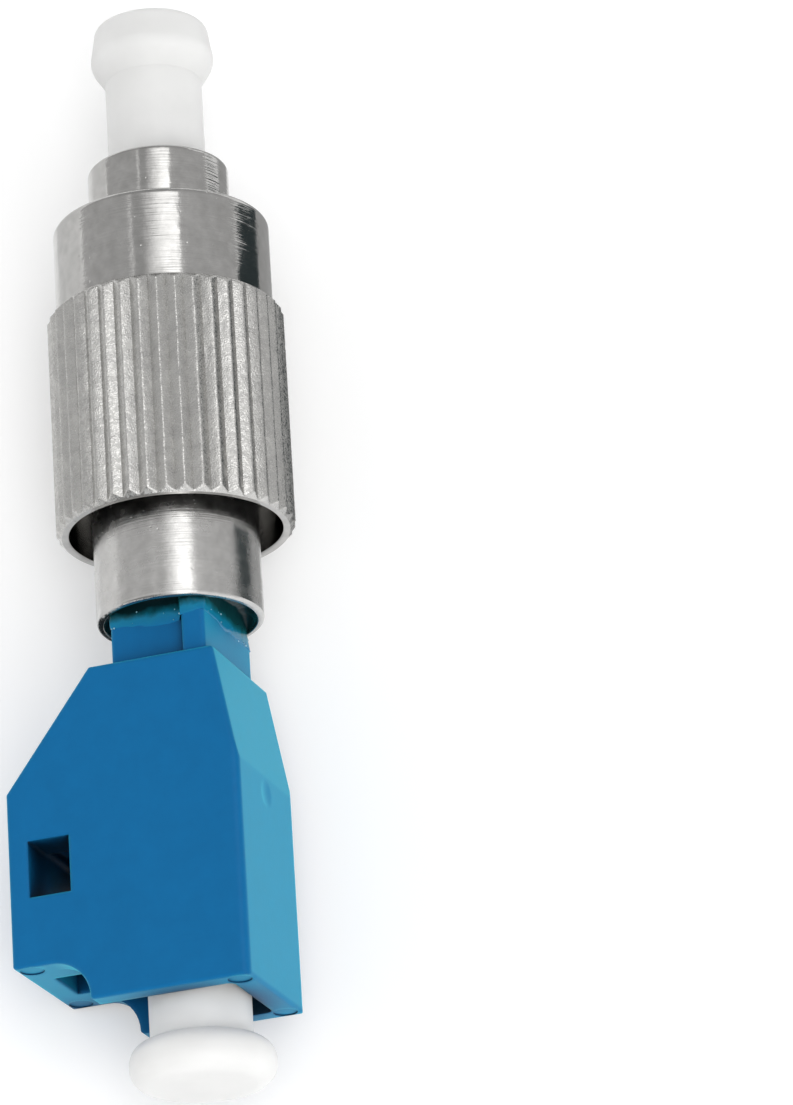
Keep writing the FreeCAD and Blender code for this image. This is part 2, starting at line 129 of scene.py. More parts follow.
GLUE_UP = (0.0, 0.3, 0.6, 0.85, 0.97)           # points of its film, as shares of the climb
GLUE_TUCK = 0.9                 # share of the climb where the film's mesh ends inside the neck
CLIMB_WAVES = 1.7               # waves on each radian around the neck, and so are the next two
RIPPLE_WAVES = 9
SWELL_WAVES = 6
SWELL_START = Vector((0, 0, 4))
GLUE_SHARP_ANGLE = math.radians(50)
BUBBLE_R = 0.045
BUBBLE_DENSITY = 3.0            # bubbles on a square millimetre
BUBBLE_SEED = 5
NOT_ZERO = 1e-6                 # keeps a division finite


# Node trees

def add(tree, kind, links=None, stops=(), **settings):
    """Adds a node, sets its properties, feeds its inputs from sockets or plain values, and gives a
    colour ramp its (position, colour) stops."""
    node = tree.nodes.new(kind)
    for name, value in settings.items():
        setattr(node, name, value)
    for name, value in (links or {}).items():
        if isinstance(value, bpy.types.NodeSocket):
            tree.links.new(value, node.inputs[name])
        else:
            node.inputs[name].default_value = value
    for index, (position, shade) in enumerate(stops):
        if index >= len(node.color_ramp.elements):
            node.color_ramp.elements.new(position)
        node.color_ramp.elements[index].position = position
        node.color_ramp.elements[index].color = shade
    return node


def new_tree(name, **inputs):
    """Geometry tree with a geometry socket at each end and named inputs. Returns it with its inputs."""
    tree = bpy.data.node_groups.new(name, "GeometryNodeTree")
    tree.interface.new_socket("Geometry", in_out="OUTPUT", socket_type="NodeSocketGeometry")
    tree.interface.new_socket("Geometry", in_out="INPUT", socket_type="NodeSocketGeometry")
    for label, kind in inputs.items():
        tree.interface.new_socket(label, in_out="INPUT", socket_type="NodeSocket" + kind)
    return tree, add(tree, "NodeGroupInput").outputs


def grow(piece, tree, **sizes):
    """Runs a geometry tree on a piece with these inputs, and keeps the result as a plain mesh."""
    modifier = piece.modifiers.new(tree.name, "NODES")
    modifier.node_group = tree
    for socket in tree.interface.items_tree:
        if socket.in_out == "INPUT" and socket.name in sizes:
            modifier[socket.identifier] = sizes[socket.name]
    finished = piece.evaluated_get(bpy.context.evaluated_depsgraph_get())
    mesh = bpy.data.meshes.new_from_object(finished)
    mesh.name = piece.name
    piece.modifiers.clear()
    piece.data = mesh


def colour(code):
    """Linear colour of an sRGB hex code."""
    channels = [int(code[i:i + 2], 16) / 255 for i in (1, 3, 5)]
    return [c / 12.92 if c <= 0.04045 else ((c + 0.055) / 1.055) ** 2.4 for c in channels] + [1.0]


def grey(level):
    """Grey of this linear brightness."""
    return (level, level, level, 1)


def per(size_mm):
    """Texture scale that gives a pattern this many millimetres across."""
    return 1 / (size_mm * MM)


def new_material(name, **sockets):
    """Empty Principled material. Returns it with its tree, shader and Object coordinates."""
    material = bpy.data.materials.new(name)
    material.use_nodes = True
    tree = material.node_tree
    shader = tree.nodes["Principled BSDF"]
    for socket, value in sockets.items():
        shader.inputs[socket.replace("_", " ")].default_value = value
    place = add(tree, "ShaderNodeTexCoord").outputs["Object"]
    return material, tree, shader, place


# Materials

def drift(tree, shader, place, size_mm, dark_code, pale_code, detail=2.0):
    """Lets a material's colour drift between two hex codes, in clouds of this size. Returns the clouds."""
    clouds = add(tree, "ShaderNodeTexNoise", {"Vector": place, "Scale": per(size_mm), "Detail": detail})
    tint = add(tree, "ShaderNodeValToRGB", {"Fac": clouds.outputs["Fac"]},
               stops=((0.3, colour(dark_code)), (0.7, colour(pale_code))))
    tree.links.new(tint.outputs[0], shader.inputs["Base Color"])
    return clouds.outputs["Fac"]


def nickel_plated_brass(name, dull_code, bright_code, roughness):
    """Turned brass under bright nickel: it mirrors the light, broken up by lathe rings that show in patches,
    slow waves in the plating and a few pits. Real rings are finer: these are coarse enough to show."""
    material, tree, shader, place = new_material(name, Metallic=1.0)
    rings = add(tree, "ShaderNodeMapping", {"Vector": place, "Scale": (per(0.07), per(3), per(3))})
    ring_noise = add(tree, "ShaderNodeTexNoise", {"Vector": rings.outputs[0], "Scale": 1.0, "Detail": 3.0})
    patches = add(tree, "ShaderNodeTexNoise", {"Vector": place, "Scale": per(1.3), "Detail": 3.0})
    depth = add(tree, "ShaderNodeMapRange", {"Value": patches.outputs["Fac"], "From Min": 0.35,
                                             "From Max": 0.65, "To Min": 0.08, "To Max": 0.5})
    lathe = add(tree, "ShaderNodeBump", {"Height": ring_noise.outputs["Fac"], "Strength": depth.outputs[0],
                                         "Distance": 0.03 * MM})
    waves = drift(tree, shader, place, 0.5, dull_code, bright_code, detail=3.0)
    plated = add(tree, "ShaderNodeBump", {"Height": waves, "Strength": 0.25, "Distance": 0.03 * MM,
                                          "Normal": lathe.outputs[0]})
    pits = add(tree, "ShaderNodeTexVoronoi", {"Vector": place, "Scale": per(0.6), "Randomness": 1.0})
    pit_mask = add(tree, "ShaderNodeValToRGB", {"Fac": pits.outputs["Distance"]},
                   stops=((0.0, grey(0)), (0.09, grey(1))))
    pitted = add(tree, "ShaderNodeBump", {"Height": pit_mask.outputs[0], "Strength": 0.4,
                                          "Distance": 0.04 * MM, "Normal": plated.outputs[0]})
    rough = add(tree, "ShaderNodeMapRange", {"Value": patches.outputs["Fac"], "From Min": 0.3,
                                             "From Max": 0.7, "To Min": roughness,
                                             "To Max": 2 * roughness})
    tree.links.new(rough.outputs[0], shader.inputs["Roughness"])
    tree.links.new(pitted.outputs[0], shader.inputs["Normal"])
    return material


def knurled_nickel():
    """Nickel over a rolled knurl: the tool leaves the flanks finely grained, so they glint in specks, and
    the crests shine in beads."""
    material, tree, shader, place = new_material("knurled_nickel", Metallic=1.0)
    drift(tree, shader, place, 0.6, "#C0BFBD", "#D0CFCC", detail=3.0)
    grain = add(tree, "ShaderNodeTexNoise", {"Vector": place, "Scale": per(0.06), "Detail": 2.0})
    beads = add(tree, "ShaderNodeTexNoise", {"Vector": place, "Scale": per(0.16), "Detail": 2.0})
    grained = add(tree, "ShaderNodeBump", {"Height": grain.outputs["Fac"], "Strength": 0.65,
                                           "Distance": 0.03 * MM})
    rough = add(tree, "ShaderNodeMapRange", {"Value": beads.outputs["Fac"], "From Min": 0.4,
                                             "From Max": 0.6, "To Min": 0.08, "To Max": 0.42})
    tree.links.new(rough.outputs[0], shader.inputs["Roughness"])
    tree.links.new(grained.outputs[0], shader.inputs["Normal"])
    return material


def blue_pbt():
    """Moulded PBT: saturated blue with a satin skin that gleams cyan at a low angle, faint flow marks, soft
    moulded edges, and painted shade in its hollows, where its colour darkens and its gleam fades."""
    material, tree, shader, place = new_material("blue_pbt", Roughness=0.42, Specular_IOR_Level=0.15,
                                                 Sheen_Roughness=0.45)
    shader.inputs["Sheen Tint"].default_value = colour("#48F4FF")
    flow = add(tree, "ShaderNodeTexNoise", {"Vector": place, "Scale": per(1.2), "Detail": 6.0,
                                            "Roughness": 0.7})
    tint = add(tree, "ShaderNodeValToRGB", {"Fac": flow.outputs["Fac"]},
               stops=((0.3, colour("#045F96")), (0.7, colour("#05649D"))))
    # Painted shade: where ambient occlusion finds the surface enclosed, in hollows and close to other parts,
    # the colour darkens towards #022033 and the sheen drops.
    openness = add(tree, "ShaderNodeAmbientOcclusion", {"Distance": 3 * MM}).outputs["AO"]
    lit = add(tree, "ShaderNodeMapRange", {"Value": openness, "From Min": 0.3, "From Max": 0.78})
    shade = add(tree, "ShaderNodeMix", {"Factor": lit.outputs[0], 6: colour("#022033"), 7: tint.outputs[0]},
                data_type="RGBA")
    gleam = add(tree, "ShaderNodeMapRange", {"Value": openness, "From Min": 0.5, "From Max": 0.9,
                                             "To Max": 0.72})
    skin = add(tree, "ShaderNodeTexNoise", {"Vector": place, "Scale": per(0.12), "Detail": 2.0})
    soft_edge = add(tree, "ShaderNodeBevel", {"Radius": 0.25 * MM}, samples=6)
    grain = add(tree, "ShaderNodeBump", {"Height": skin.outputs["Fac"], "Strength": 0.2,
                                         "Distance": 0.01 * MM, "Normal": soft_edge.outputs[0]})
    tree.links.new(shade.outputs[2], shader.inputs["Base Color"])
    tree.links.new(gleam.outputs[0], shader.inputs["Sheen Weight"])
    tree.links.new(grain.outputs[0], shader.inputs["Normal"])
    return material


def white_ldpe():
    """Moulded LDPE: milky and a little see-through, with a waxy skin."""
    material, tree, shader, place = new_material("white_ldpe", Roughness=0.45, Specular_IOR_Level=0.4,
                                                 Subsurface_Weight=0.8, Subsurface_Scale=1.5 * MM,
                                                 Subsurface_Radius=(1, 1, 1))
    drift(tree, shader, place, 2.2, "#DEDEDD", "#E3E3E2")
    skin = add(tree, "ShaderNodeTexNoise", {"Vector": place, "Scale": per(0.25), "Detail": 2.0})
    wax = add(tree, "ShaderNodeBump", {"Height": skin.outputs["Fac"], "Strength": 0.08,
                                       "Distance": 0.02 * MM})
    tree.links.new(wax.outputs[0], shader.inputs["Normal"])
    return material


def set_epoxy():
    """Cured two-part epoxy: a wet-looking teal film where it is thin over the blue neck, and nearly black
    green where it is deep in the collar, partly the dark of the deep glue and partly painted shade of the
    collar around it."""
    material, tree, shader, place = new_material("set_epoxy", Roughness=0.12, Specular_IOR_Level=0.15,
                                                 Sheen_Weight=0.2, Sheen_Roughness=0.45)
    shader.inputs["Sheen Tint"].default_value = colour("#40F0F8")
    along = add(tree, "ShaderNodeSeparateXYZ", {"Vector": place})
    # Darker from the rim of the collar inwards: partly deep glue, partly painted shade inside the collar's
    # mouth.
    depth = add(tree, "ShaderNodeMapRange", {"Value": along.outputs["X"], "From Min": COLLAR_REAR - 0.9 * MM,
                                             "From Max": COLLAR_REAR + 0.6 * MM})
    swirl = add(tree, "ShaderNodeTexNoise", {"Vector": place, "Scale": per(0.5), "Detail": 3.0})
    mottle = add(tree, "ShaderNodeMath", {0: swirl.outputs["Fac"], 1: 0.3, 2: depth.outputs[0]},
                 operation="MULTIPLY_ADD")
    tint = add(tree, "ShaderNodeValToRGB", {"Fac": mottle.outputs[0]},
               stops=((0.2, colour("#0B6CA0")), (0.5, colour("#127498")), (0.66, colour("#0E4B58")),
                      (0.78, colour("#0A2024"))))
    wave = add(tree, "ShaderNodeBump", {"Height": swirl.outputs["Fac"], "Strength": 0.5,
                                        "Distance": 0.05 * MM})
    tree.links.new(tint.outputs[0], shader.inputs["Base Color"])
    tree.links.new(wave.outputs[0], shader.inputs["Normal"])
    return material


def air_specks_painted_glint():
    """Air and dust caught in the set glue: pale specks, their paleness partly their own and partly painted
    glint for the light they catch.
    """
    material, tree, shader, place = new_material("air_specks_painted_glint", Roughness=0.1)
    mix = add(tree, "ShaderNodeTexNoise", {"Vector": place, "Scale": per(0.3)})
    # The pale stop is partly painted glint.
    tint = add(tree, "ShaderNodeValToRGB", {"Fac": mix.outputs["Fac"]},
               stops=((0.4, colour("#1F82A0")), (0.65, colour("#A8D4DE"))))
    tree.links.new(tint.outputs[0], shader.inputs["Base Color"])
    return material


def spring_steel():
    """Drawn steel wire and strip: grey, with fine marks from the drawing."""
    material, tree, shader, place = new_material("spring_steel", Metallic=1.0, Roughness=0.3)
    drift(tree, shader, place, 0.15, "#8E8F92", "#A9AAAD", detail=3.0)
    return material


def zirconia():
    """Ground zirconia ceramic: dense ivory white, polished."""
    material, tree, shader, place = new_material("zirconia", Roughness=0.14, IOR=2.1)
    drift(tree, shader, place, 0.4, "#EDE8DC", "#F3EFE5")
    return material


def grey_pei():
    """Moulded polyetherimide: dull grey."""
    material, tree, shader, place = new_material("grey_pei", Roughness=0.5, IOR=1.63)
    drift(tree, shader, place, 1.2, "#9A9A98", "#A6A6A3")
    return material


def silica_glass():
    """Drawn silica fibre: clear glass."""
    material, tree, shader, place = new_material("silica_glass", Roughness=0.02, IOR=1.46,
                                                 Transmission_Weight=0.9)
    drift(tree, shader, place, 0.3, "#E8EEF0", "#F4F8FA")
    return material


NICKEL = nickel_plated_brass("nickel_plated_brass", "#B3B2B0", "#C3C2C0", 0.08)
SATIN_NICKEL = nickel_plated_brass("satin_nickel", "#C4C3C1", "#D2D1CF", 0.16)
KNURL = knurled_nickel()
BLUE = blue_pbt()
WHITE = white_ldpe()
EPOXY = set_epoxy()
AIR_AND_GLINT = air_specks_painted_glint()
STEEL = spring_steel()
CERAMIC = zirconia()
PEI = grey_pei()
GLASS = silica_glass()

finishes = {
    "lc_housing": BLUE,
    "sleeve_holder": PEI,
    "split_sleeve": CERAMIC,
    "epoxy_bead": EPOXY,
    "rear_collar": SATIN_NICKEL,
    "fc_barrel": NICKEL,
    "spring_stop": NICKEL,
    "nut_snap_ring": STEEL,
    "coupling_nut": NICKEL,
    "ferrule_flange": NICKEL,
    "fc_ferrule": CERAMIC,
    "lc_ferrule": CERAMIC,
    "fibre_stub": GLASS,
    "ferrule_spring": STEEL,
    "fc_dust_cap": WHITE,
    "lc_dust_plug": WHITE,
}
for name, material in finishes.items():
    nodes[name].material_slots[0].material = material


# Meshes

def rounded(corners, steps=6):
    """Closed flat outline through (x, y, rounding) corners, with each rounding as a run of points."""
    points = []
    for index, (x, y, radius) in enumerate(corners):
        corner = Vector((x, y))
        if radius == 0:
            points.append(corner)
            continue
        before = (Vector(corners[index - 1][:2]) - corner).normalized()
        after = (Vector(corners[(index + 1) % len(corners)][:2]) - corner).normalized()
        half_angle = before.angle(after) / 2
        run = radius / math.tan(half_angle)
        centre = corner + (before + after).normalized() * (radius / math.sin(half_angle))
        start = corner + before * run - centre
        end = corner + after * run - centre
        sweep = start.angle_signed(end)
        for step in range(steps + 1):
            turn = Matrix.Rotation(-sweep * step / steps, 2)
            points.append(centre + turn @ start)
    return points


def new_piece(name, rings, material):
    """Mesh of closed rings of points joined in a loop, like a bent tube that meets itself."""
    count = len(rings[0])
    points = [point for ring in rings for point in ring]
    faces = []
    for r in range(len(rings)):
        here = r * count
        there = (r + 1) % len(rings) * count
        for k in range(count):
            after = (k + 1) % count
            faces.append((here + k, there + k, there + after, here + after))
    mesh = bpy.data.meshes.new(name)
    mesh.from_pydata(points, [], faces)
    mesh.shade_smooth()
    mesh.materials.append(material)
    piece = bpy.data.objects.new(name, mesh)
    bpy.context.scene.collection.objects.link(piece)
    return piece


def on_axis(x, radius, angle):
    """Point beside the fibre's axis, in metres. The angle runs from +Y towards +Z."""
    return Vector((x, AXIS.y + radius * math.cos(angle), AXIS.z + radius * math.sin(angle)))


# Coupling nut

def knurl_tree():
    """Presses a straight knurl into the outside of a turned piece: round-topped teeth that stray and carry
    dents, and end in the chamfers that were turned first."""
    tree, sizes = new_tree("straight_knurl", Axis="Vector", Teeth="Float", CrestRadius="Float",
                           Floor="Float", Slope="Float", CrestRound="Float", Wander="Float", Dent="Float",
                           Seed="Float", Plain="Material", Knurled="Material")
    spot = add(tree, "GeometryNodeInputPosition").outputs[0]
    arm = add(tree, "ShaderNodeVectorMath", {0: spot, 1: sizes["Axis"]}, operation="SUBTRACT")
    arm = add(tree, "ShaderNodeSeparateXYZ", {"Vector": arm.outputs[0]}).outputs
    stray_scale = (per(KNURL_WANDER_LENGTH), per(KNURL_WANDER_WIDTH), per(KNURL_WANDER_WIDTH))
    seat = add(tree, "ShaderNodeVectorMath", {0: spot, 1: stray_scale}, operation="MULTIPLY")
    stray = add(tree, "ShaderNodeTexNoise", {"Vector": seat.outputs[0], "W": sizes["Seed"], "Scale": 1.0},
                noise_dimensions="4D")
    dents = add(tree, "ShaderNodeTexNoise", {"Vector": spot, "W": sizes["Seed"],
                                             "Scale": per(KNURL_DENT_SIZE)}, noise_dimensions="4D")
    dent = add(tree, "ShaderNodeMapRange", {"Value": dents.outputs[0], "From Min": 0.5, "From Max": 0.75,
                                            "To Max": sizes["Dent"]})
    values = {"x": arm["X"], "y": arm["Y"], "z": arm["Z"], "stray": stray.outputs[0], "dent": dent.outputs[0],
              "teeth": sizes["Teeth"], "crest": sizes["CrestRadius"], "floor": sizes["Floor"],
              "slope": sizes["Slope"], "round": sizes["CrestRound"], "wander": sizes["Wander"]}
    steps = (
        ("z_squared", "MULTIPLY", "z", "z"),
        ("reach_squared", "MULTIPLY_ADD", "y", "y", "z_squared"),
        ("reach", "SQRT", "reach_squared"),
        ("pitch", "DIVIDE", 2 * math.pi, "teeth"),
        ("turn", "ARCTAN2", "z", "y"),
        ("turns", "DIVIDE", "turn", "pitch"),
        ("tooth", "ROUND", "turns"),
        ("share", "SUBTRACT", "turns", "tooth"),
        ("off_crest", "ABSOLUTE", "share"),
        ("crowd", "MULTIPLY_ADD", "off_crest", 2 * (1 - CREST_CROWDING), CREST_CROWDING),
        ("across", "MULTIPLY", "share", "crowd"),
        ("width", "MULTIPLY", "pitch", "crest"),
        ("lean", "SUBTRACT", "stray", 0.5),
        ("sideways", "MULTIPLY", "lean", "wander"),
        ("run", "MULTIPLY_ADD", "across", "width", "sideways"),
        ("round_squared", "MULTIPLY", "round", "round"),
        ("run_squared", "MULTIPLY_ADD", "run", "run", "round_squared"),
        ("flank", "SQRT", "run_squared"),
        ("below_crest", "SUBTRACT", "flank", "round"),
        ("drop", "MULTIPLY_ADD", "below_crest", "slope", "dent"),
        ("height", "SUBTRACT", "crest", "drop"),
        ("turned_height", "MINIMUM", "reach", "height"),
        ("knurled_height", "MAXIMUM", "turned_height", "floor"),
        ("place", "ADD", "tooth", "across"),
        ("angle", "MULTIPLY", "place", "pitch"),
        ("cosine", "COSINE", "angle"),
        ("sine", "SINE", "angle"),
        ("new_y", "MULTIPLY", "knurled_height", "cosine"),
        ("new_z", "MULTIPLY", "knurled_height", "sine"),
        ("skin", "SUBTRACT", "floor", KNURL_SKIN * MM),
        ("outside", "GREATER_THAN", "reach", "skin"),
    )
    for name, operation, *inputs in steps:
        feeds = {index: values.get(item, item) for index, item in enumerate(inputs)}
        values[name] = add(tree, "ShaderNodeMath", feeds, operation=operation).outputs[0]
    moved = add(tree, "ShaderNodeCombineXYZ", {"X": values["x"], "Y": values["new_y"], "Z": values["new_z"]})
    moved = add(tree, "ShaderNodeVectorMath", {0: moved.outputs[0], 1: sizes["Axis"]}, operation="ADD")
    shaped = add(tree, "GeometryNodeSetPosition", {"Geometry": sizes["Geometry"],
                                                   "Selection": values["outside"],
                                                   "Position": moved.outputs[0]})
    whole = add(tree, "GeometryNodeRealizeInstances", {"Geometry": shaped.outputs[0]})
    plain = add(tree, "GeometryNodeSetMaterial", {"Geometry": whole.outputs[0], "Material": sizes["Plain"]})
    both = add(tree, "GeometryNodeSetMaterial", {"Geometry": plain.outputs[0],
                                                 "Selection": values["outside"],
                                                 "Material": sizes["Knurled"]})
    add(tree, "NodeGroupOutput", {"Geometry": both.outputs[0]})
    return tree


def make_nut():
    """Turned nut with its rear opening, lip, ring groove and thread bore, then knurled."""
    floor_r = KNURL_R - KNURL_CHAMFER
    corners = (
        (0, THREAD_R + MOUTH_CHAMFER, 0),
        (0, NUT_FRONT_R, NUT_FRONT_ROUND),
        (KNURL_FRONT, NUT_FRONT_R, 0),
        (KNURL_FRONT, floor_r, 0),
        (KNURL_FRONT - KNURL_CHAMFER, KNURL_R, 0),
        (KNURL_CHAMFER - NUT_LENGTH, KNURL_R, 0),
        (-NUT_LENGTH, floor_r, 0),
        (-NUT_LENGTH, floor_r - NUT_RIM_ROUND, 0),
        (-NUT_LENGTH, NUT_REAR_BORE_R, NUT_RIM_ROUND),
        (NUT_LIP_REAR, NUT_REAR_BORE_R, 0),
        (NUT_LIP_REAR, NUT_LIP_R, 0),
        (NUT_LIP_FRONT, NUT_LIP_R, 0),
        (NUT_LIP_FRONT, RING_GROOVE_R, 0),
        (RING_GROOVE_FRONT, RING_GROOVE_R, 0),
        (RING_GROOVE_FRONT, NUT_MIDDLE_R, 0),
        (-THREAD_LENGTH, NUT_MIDDLE_R, 0),
        (-THREAD_LENGTH, THREAD_R, 0),
        (-MOUTH_CHAMFER, THREAD_R, 0),
    )
    outline = rounded(corners)
    stations = []
    for index, point in enumerate(outline):
        target = outline[(index + 1) % len(outline)]
        length = (target - point).length
        shares = [0]
        if min(point.y, target.y) > floor_r - KNURL_STEP / 2:
            count = math.ceil(length / (KNURL_STEP if point.y == target.y else KNURL_STEP / 2))
            shares = [i / count for i in range(count)]
        elif length > 4 * SHADING_GUARD:
            shares = [0, SHADING_GUARD / length, 1 - SHADING_GUARD / length]
        stations += [point.lerp(target, share) for share in shares]
    around = KNURL_TEETH * TOOTH_STEPS
    angles = [2 * math.pi * k / around for k in range(around)]
    rings = [[on_axis(NUT_HIGH.x + s.x * MM, s.y * MM, angle) for angle in angles] for s in stations]
    nut = new_piece("knurled_nut", rings, NICKEL)
    grow(nut, knurl_tree(), Axis=AXIS, Teeth=float(KNURL_TEETH), CrestRadius=KNURL_R * MM,
         Floor=floor_r * MM, Slope=KNURL_SLOPE, CrestRound=KNURL_CREST_ROUND * MM,
         Wander=2 * KNURL_WANDER * MM, Dent=KNURL_DENT * MM, Seed=KNURL_SEED, Plain=NICKEL,
         Knurled=KNURL)
    nut.data.set_sharp_from_angle(angle=METAL_SHARP_ANGLE)
    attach(nut, "nut")
    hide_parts("coupling_nut")


def helix_tree(name, section, shape, **settings):
    """Ridge or wire wound along the fibre's axis. Its section is a curve node, and shape names the input
    for each of that node's sockets."""
    tree, sizes = new_tree(name, Start="Vector", Radius="Float", Length="Float", Turns="Float",
                           Finish="Material", **{label: "Float" for label in shape.values()})
    path = add(tree, "GeometryNodeCurveSpiral", {"Resolution": HELIX_STEPS, "Rotations": sizes["Turns"],
                                                 "Start Radius": sizes["Radius"],
                                                 "End Radius": sizes["Radius"],
                                                 "Height": sizes["Length"]})
    level = add(tree, "GeometryNodeSetCurveNormal", {"Curve": path.outputs[0]}, mode="Z_UP")
    outline = add(tree, section, {socket: sizes[label] for socket, label in shape.items()}, **settings)
    turned = add(tree, "GeometryNodeTransform", {"Geometry": outline.outputs[0],
                                                 "Rotation": (0, 0, math.pi / 2)})
    wound = add(tree, "GeometryNodeCurveToMesh", {"Curve": level.outputs[0],
                                                  "Profile Curve": turned.outputs[0], "Fill Caps": True})
    laid = add(tree, "GeometryNodeTransform", {"Geometry": wound.outputs[0], "Translation": sizes["Start"],
                                               "Rotation": (0, math.pi / 2, 0)})
    whole = add(tree, "GeometryNodeRealizeInstances", {"Geometry": laid.outputs[0]})
    done = add(tree, "GeometryNodeSetMaterial", {"Geometry": whole.outputs[0], "Material": sizes["Finish"]})
    add(tree, "NodeGroupOutput", {"Geometry": done.outputs[0]})
    return tree


def wind(name, tree, **sizes):
    """Piece made by a helix tree."""
    piece = bpy.data.objects.new(name, bpy.data.meshes.new(name))
    bpy.context.scene.collection.objects.link(piece)
    grow(piece, tree, **sizes)
    piece.data.set_sharp_from_angle(angle=METAL_SHARP_ANGLE)
    return piece


def make_thread():
    """Inside M8 x 0.75 thread: a ridge with a flat crest, wound right-handed in the bore of the nut."""
    height = THREAD_R + THREAD_SINK - THREAD_CREST_R
    length = THREAD_LENGTH - MOUTH_CHAMFER - THREAD_PITCH
    start = Vector((NUT_HIGH.x - (MOUTH_CHAMFER + THREAD_PITCH / 2 + length) * MM, AXIS.y, AXIS.z))
    section = {"Bottom Width": "Base", "Top Width": "Crest", "Height": "Rise", "Offset": "Lean"}
    tree = helix_tree("wound_thread", "GeometryNodeCurvePrimitiveQuadrilateral", section, mode="TRAPEZOID")
    thread = wind("nut_thread", tree, Start=start, Radius=(THREAD_CREST_R + height / 2) * MM,
                  Length=length * MM, Turns=length / THREAD_PITCH, Rise=height * MM, Lean=0.0,
                  Base=THREAD_PITCH * THREAD_BASE_SHARE * MM, Crest=THREAD_PITCH * THREAD_CREST_SHARE * MM,
                  Finish=NICKEL)
    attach(thread, "nut")


def make_spring():
    """Compression spring behind the ferrule, wound at the length it has in the solids."""
    wire_r = SPRING_WIRE / 2 * MM
    length = SPRING_HIGH.x - SPRING_LOW.x
    radius = (SPRING_HIGH.z - SPRING_LOW.z) / 2 - wire_r
    tree = helix_tree("wound_spring", "GeometryNodeCurvePrimitiveCircle", {"Radius": "Wire"})
    spring = wind("wire_spring", tree, Start=Vector((SPRING_LOW.x + wire_r, AXIS.y, AXIS.z)), Radius=radius,
                  Length=length - 2 * wire_r, Turns=SPRING_TURNS, Wire=wire_r, Finish=STEEL)
    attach(spring, "root")
    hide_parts("ferrule_spring")
    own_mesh(spring)


# Glue around the neck

def neck_reach(angle, x):
    """Axis to the outside of the neck, in millimetres, x counted from the rim of the collar."""
    y, z = math.cos(angle), math.sin(angle)

    def edge(back, front, half):
        """Axis to the outside of a plain box with these reaches."""
        side = (front if y > 0 else back) / max(abs(y), NOT_ZERO)
        return min(side, half / max(abs(z), NOT_ZERO))

    block = edge(NECK_BACK_REACH, NECK_LATCH_REACH, NECK_PANEL)
    rib = edge(NECK_BACK_REACH, 0, NECK_RIB)
    if y < 0 and rib * -y >= NECK_BACK_REACH - NECK_RIB_WIDTH:
        block = max(block, rib)
    share = min(max((x + NECK_TAPER) / NECK_TAPER, 0), 1)
    return min(block, NECK_CORNER_R + (NECK_COLLAR_R - NECK_CORNER_R) * share)


def make_glue():
    """Glue that fills the mouth of the collar below its rim and climbs the neck as a thin, uneven film."""
    rings = []
    wall = COLLAR_MOUTH_R - GLUE_GAP
    end = (GLUE_END - COLLAR_REAR) / MM
    for step in range(GLUE_STEPS):
        angle = 2 * math.pi * step / GLUE_STEPS
        about = Vector((math.cos(angle), math.sin(angle), 0))
        ripple = GLUE_RIPPLE * noise.noise(about * RIPPLE_WAVES)
        climb = GLUE_CLIMB + GLUE_CLIMB_SPREAD * noise.noise(about * CLIMB_WAVES) + ripple
        swell = GLUE_SWELL * noise.noise(about * SWELL_WAVES + SWELL_START)
        neck = neck_reach(angle, 0)
        gap = wall - neck
        profile = [(GLUE_EDGE + swell / 2, wall)]
        for share in GLUE_ACROSS:
            dip = GLUE_DIP * (1 - (2 * share - 1) ** 4) + swell * share
            profile.append((GLUE_EDGE + dip * min(1, gap), neck + max(gap * share, GLUE_FILM)))
        for rise in GLUE_UP:
            x = -climb * rise
            profile.append((x, neck_reach(angle, x) + GLUE_FILM * math.sqrt(1 - rise)))
        neck_end = neck_reach(angle, -climb)
        profile.append((-climb, neck_end))
        profile.append((-climb * GLUE_TUCK, neck_end - GLUE_INSIDE))
        profile.append((GLUE_SHOULDER, neck - GLUE_INSIDE))
        profile.append((end, neck - GLUE_INSIDE))
        profile.append((end, wall))
        rings.append([on_axis(COLLAR_REAR + x * MM, r * MM, angle - ROLL) for x, r in reversed(profile)])
    glue = new_piece("glue_fillet", rings, EPOXY)
    glue.data.set_sharp_from_angle(angle=GLUE_SHARP_ANGLE)
    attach(glue, "root")
    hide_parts("epoxy_bead")
    return glue


def bubble_tree():
    """Small bubbles scattered over what lies outside the collar."""
    tree, sizes = new_tree("scattered_bubbles", Density="Float", Size="Float", Rim="Float", Seed="Int",
                           Finish="Material")
    spot = add(tree, "GeometryNodeInputPosition").outputs[0]
    along = add(tree, "ShaderNodeSeparateXYZ", {"Vector": spot}).outputs["X"]
    out = add(tree, "ShaderNodeMath", {0: along, 1: sizes["Rim"]}, operation="LESS_THAN").outputs[0]
    points = add(tree, "GeometryNodeDistributePointsOnFaces", {"Mesh": sizes["Geometry"], "Selection": out,
                                                               "Density": sizes["Density"],
                                                               "Seed": sizes["Seed"]})
    ball = add(tree, "GeometryNodeMeshIcoSphere", {"Radius": sizes["Size"], "Subdivisions": 3})
    size = add(tree, "FunctionNodeRandomValue", {2: 0.4, 3: 1.0, "Seed": sizes["Seed"]})
    balls = add(tree, "GeometryNodeInstanceOnPoints", {"Points": points.outputs["Points"],
                                                       "Instance": ball.outputs["Mesh"],
                                                       "Scale": size.outputs[1]})
    whole = add(tree, "GeometryNodeRealizeInstances", {"Geometry": balls.outputs[0]})
    smooth = add(tree, "GeometryNodeSetShadeSmooth", {"Geometry": whole.outputs[0]})
    done = add(tree, "GeometryNodeSetMaterial", {"Geometry": smooth.outputs[0], "Material": sizes["Finish"]})
    add(tree, "NodeGroupOutput", {"Geometry": done.outputs[0]})
    return tree


